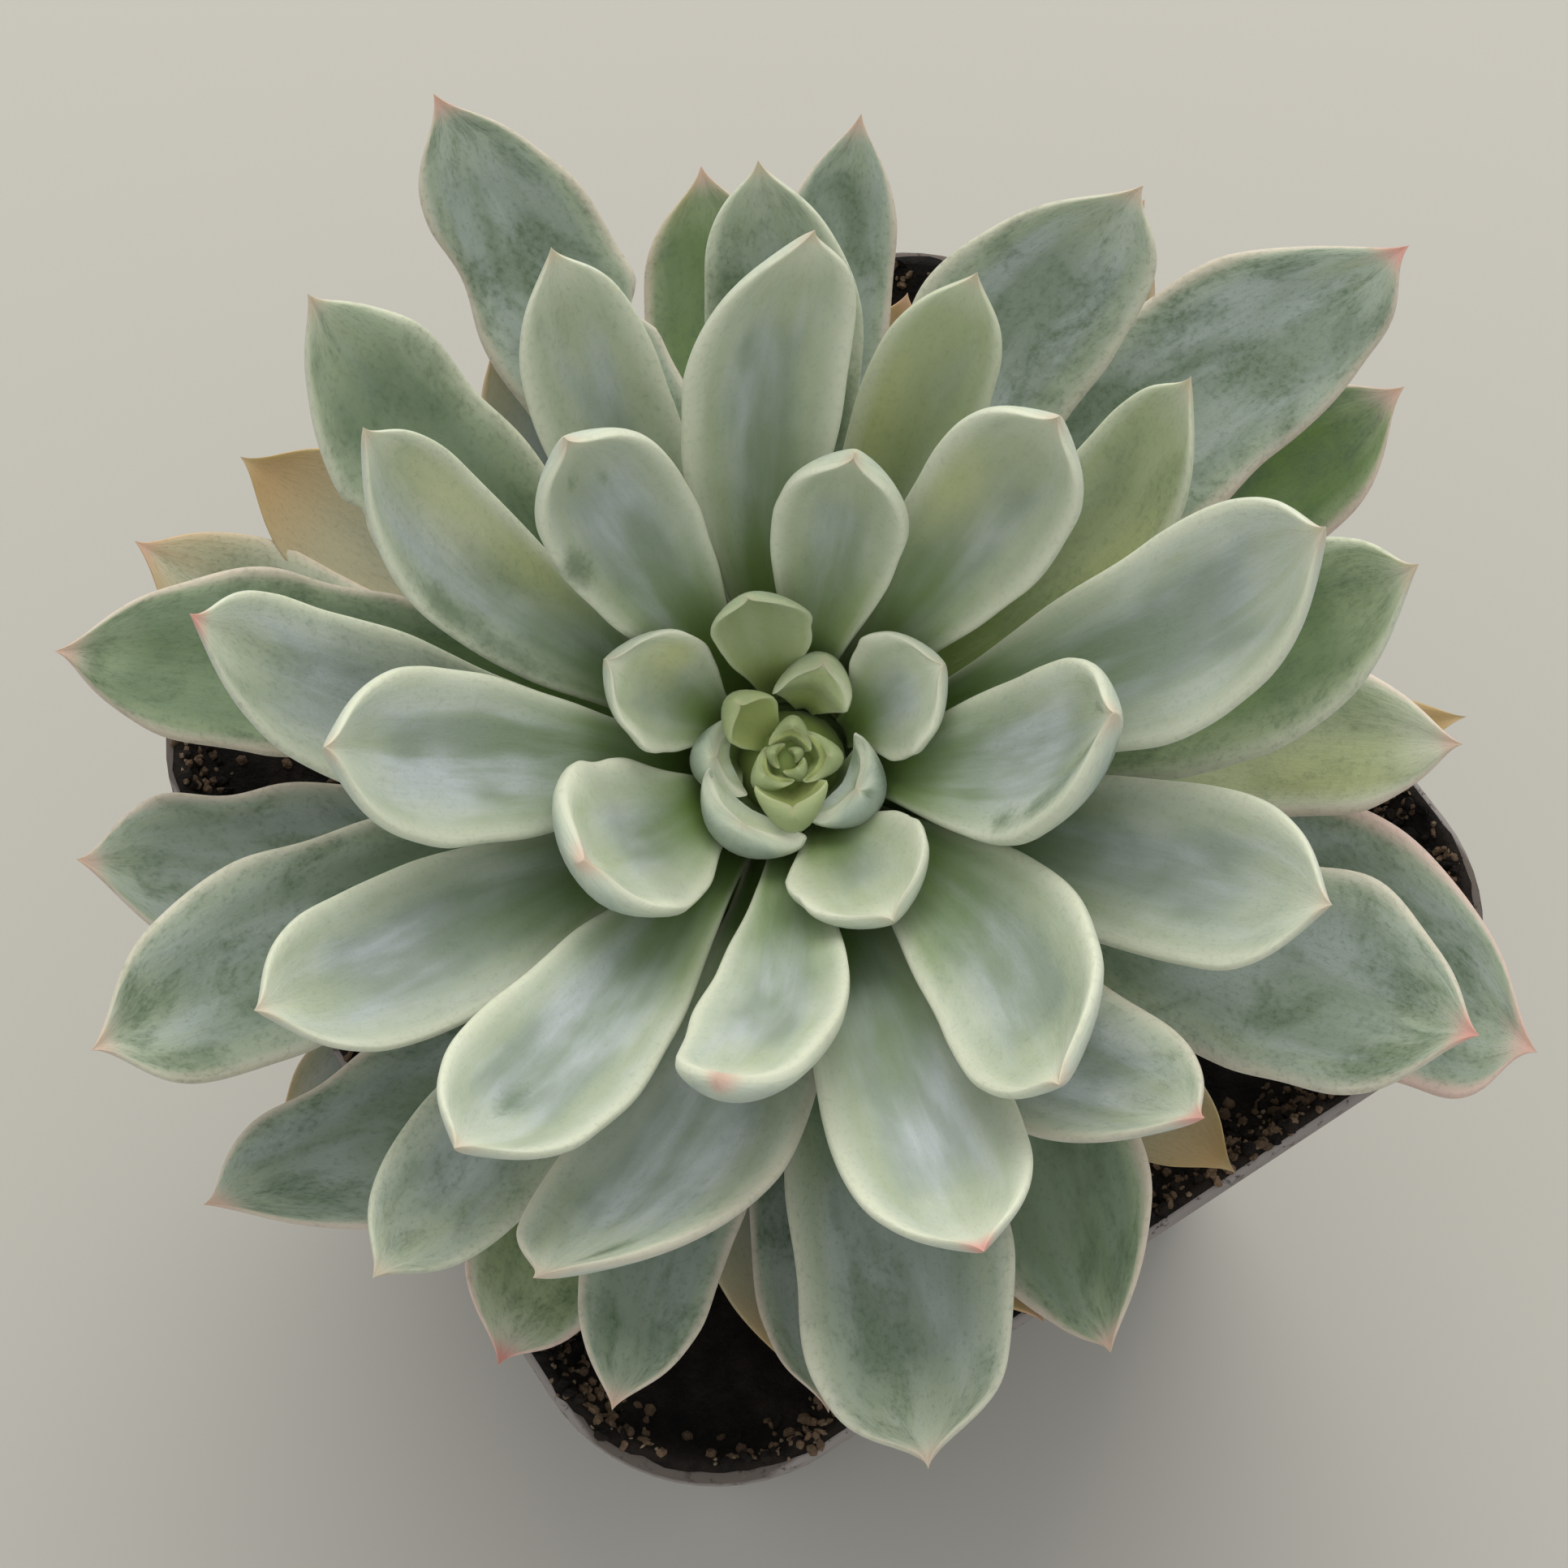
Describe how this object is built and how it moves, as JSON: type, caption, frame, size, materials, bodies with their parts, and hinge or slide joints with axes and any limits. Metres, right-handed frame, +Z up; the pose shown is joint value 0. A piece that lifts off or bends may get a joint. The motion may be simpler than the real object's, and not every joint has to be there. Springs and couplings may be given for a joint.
{
  "type": "potted succulent",
  "caption": "Rosette succulent with thick spoon-shaped leaves on a short leaning stem, planted in soil in a small rounded-square nursery pot.",
  "frame": {"origin": "middle of the pot's underside", "axes": "+Z up out of the pot; X and Y along the pot's sides, and the rosette leans 15 degrees towards -X -Y"},
  "size_m": [0.1216, 0.1087, 0.1376],
  "materials": {
    "pot_plastic": "dusty black polypropylene",
    "soil": "coarse, moist potting soil",
    "stem_skin": "dry brownish green skin",
    "young_leaf": "waxy, yellow-green",
    "grown_leaf": "waxy with a pale bloom, grey-green with cream margins",
    "old_leaf": "waxy with a worn bloom, mottled green with tan margins"
  },
  "bodies": {
    "root": {"pot": "pot_plastic", "soil": "soil", "stem": "stem_skin", "growing_tip": "young_leaf", "leaf_09": "young_leaf", "leaf_10": "young_leaf", "leaf_11": "young_leaf", "leaf_12": "young_leaf", "leaf_13": "young_leaf", "leaf_14": "young_leaf", "leaf_15": "young_leaf", "leaf_16": "young_leaf", "leaf_17": "young_leaf", "leaf_18": "grown_leaf", "leaf_19": "grown_leaf", "leaf_20": "grown_leaf", "leaf_21": "grown_leaf", "leaf_22": "grown_leaf", "leaf_23": "grown_leaf", "leaf_24": "grown_leaf", "leaf_25": "grown_leaf", "leaf_26": "grown_leaf", "leaf_27": "grown_leaf", "leaf_28": "grown_leaf", "leaf_29": "grown_leaf", "leaf_30": "grown_leaf", "leaf_31": "grown_leaf", "leaf_32": "grown_leaf", "leaf_33": "grown_leaf", "leaf_34": "grown_leaf", "leaf_35": "grown_leaf", "leaf_36": "grown_leaf", "leaf_37": "grown_leaf", "leaf_38": "grown_leaf", "leaf_39": "grown_leaf", "leaf_40": "grown_leaf", "leaf_41": "old_leaf", "leaf_42": "old_leaf", "leaf_43": "old_leaf", "leaf_44": "old_leaf", "leaf_45": "old_leaf", "leaf_46": "old_leaf", "leaf_47": "old_leaf", "leaf_48": "old_leaf", "leaf_49": "old_leaf", "leaf_50": "old_leaf", "leaf_51": "old_leaf", "leaf_52": "old_leaf", "leaf_53": "old_leaf", "leaf_54": "old_leaf", "leaf_55": "old_leaf", "leaf_56": "old_leaf", "leaf_57": "old_leaf", "leaf_58": "old_leaf", "leaf_59": "old_leaf", "leaf_60": "old_leaf", "leaf_61": "old_leaf", "leaf_62": "old_leaf", "leaf_63": "old_leaf", "leaf_64": "old_leaf"}
  },
  "joints": []
}
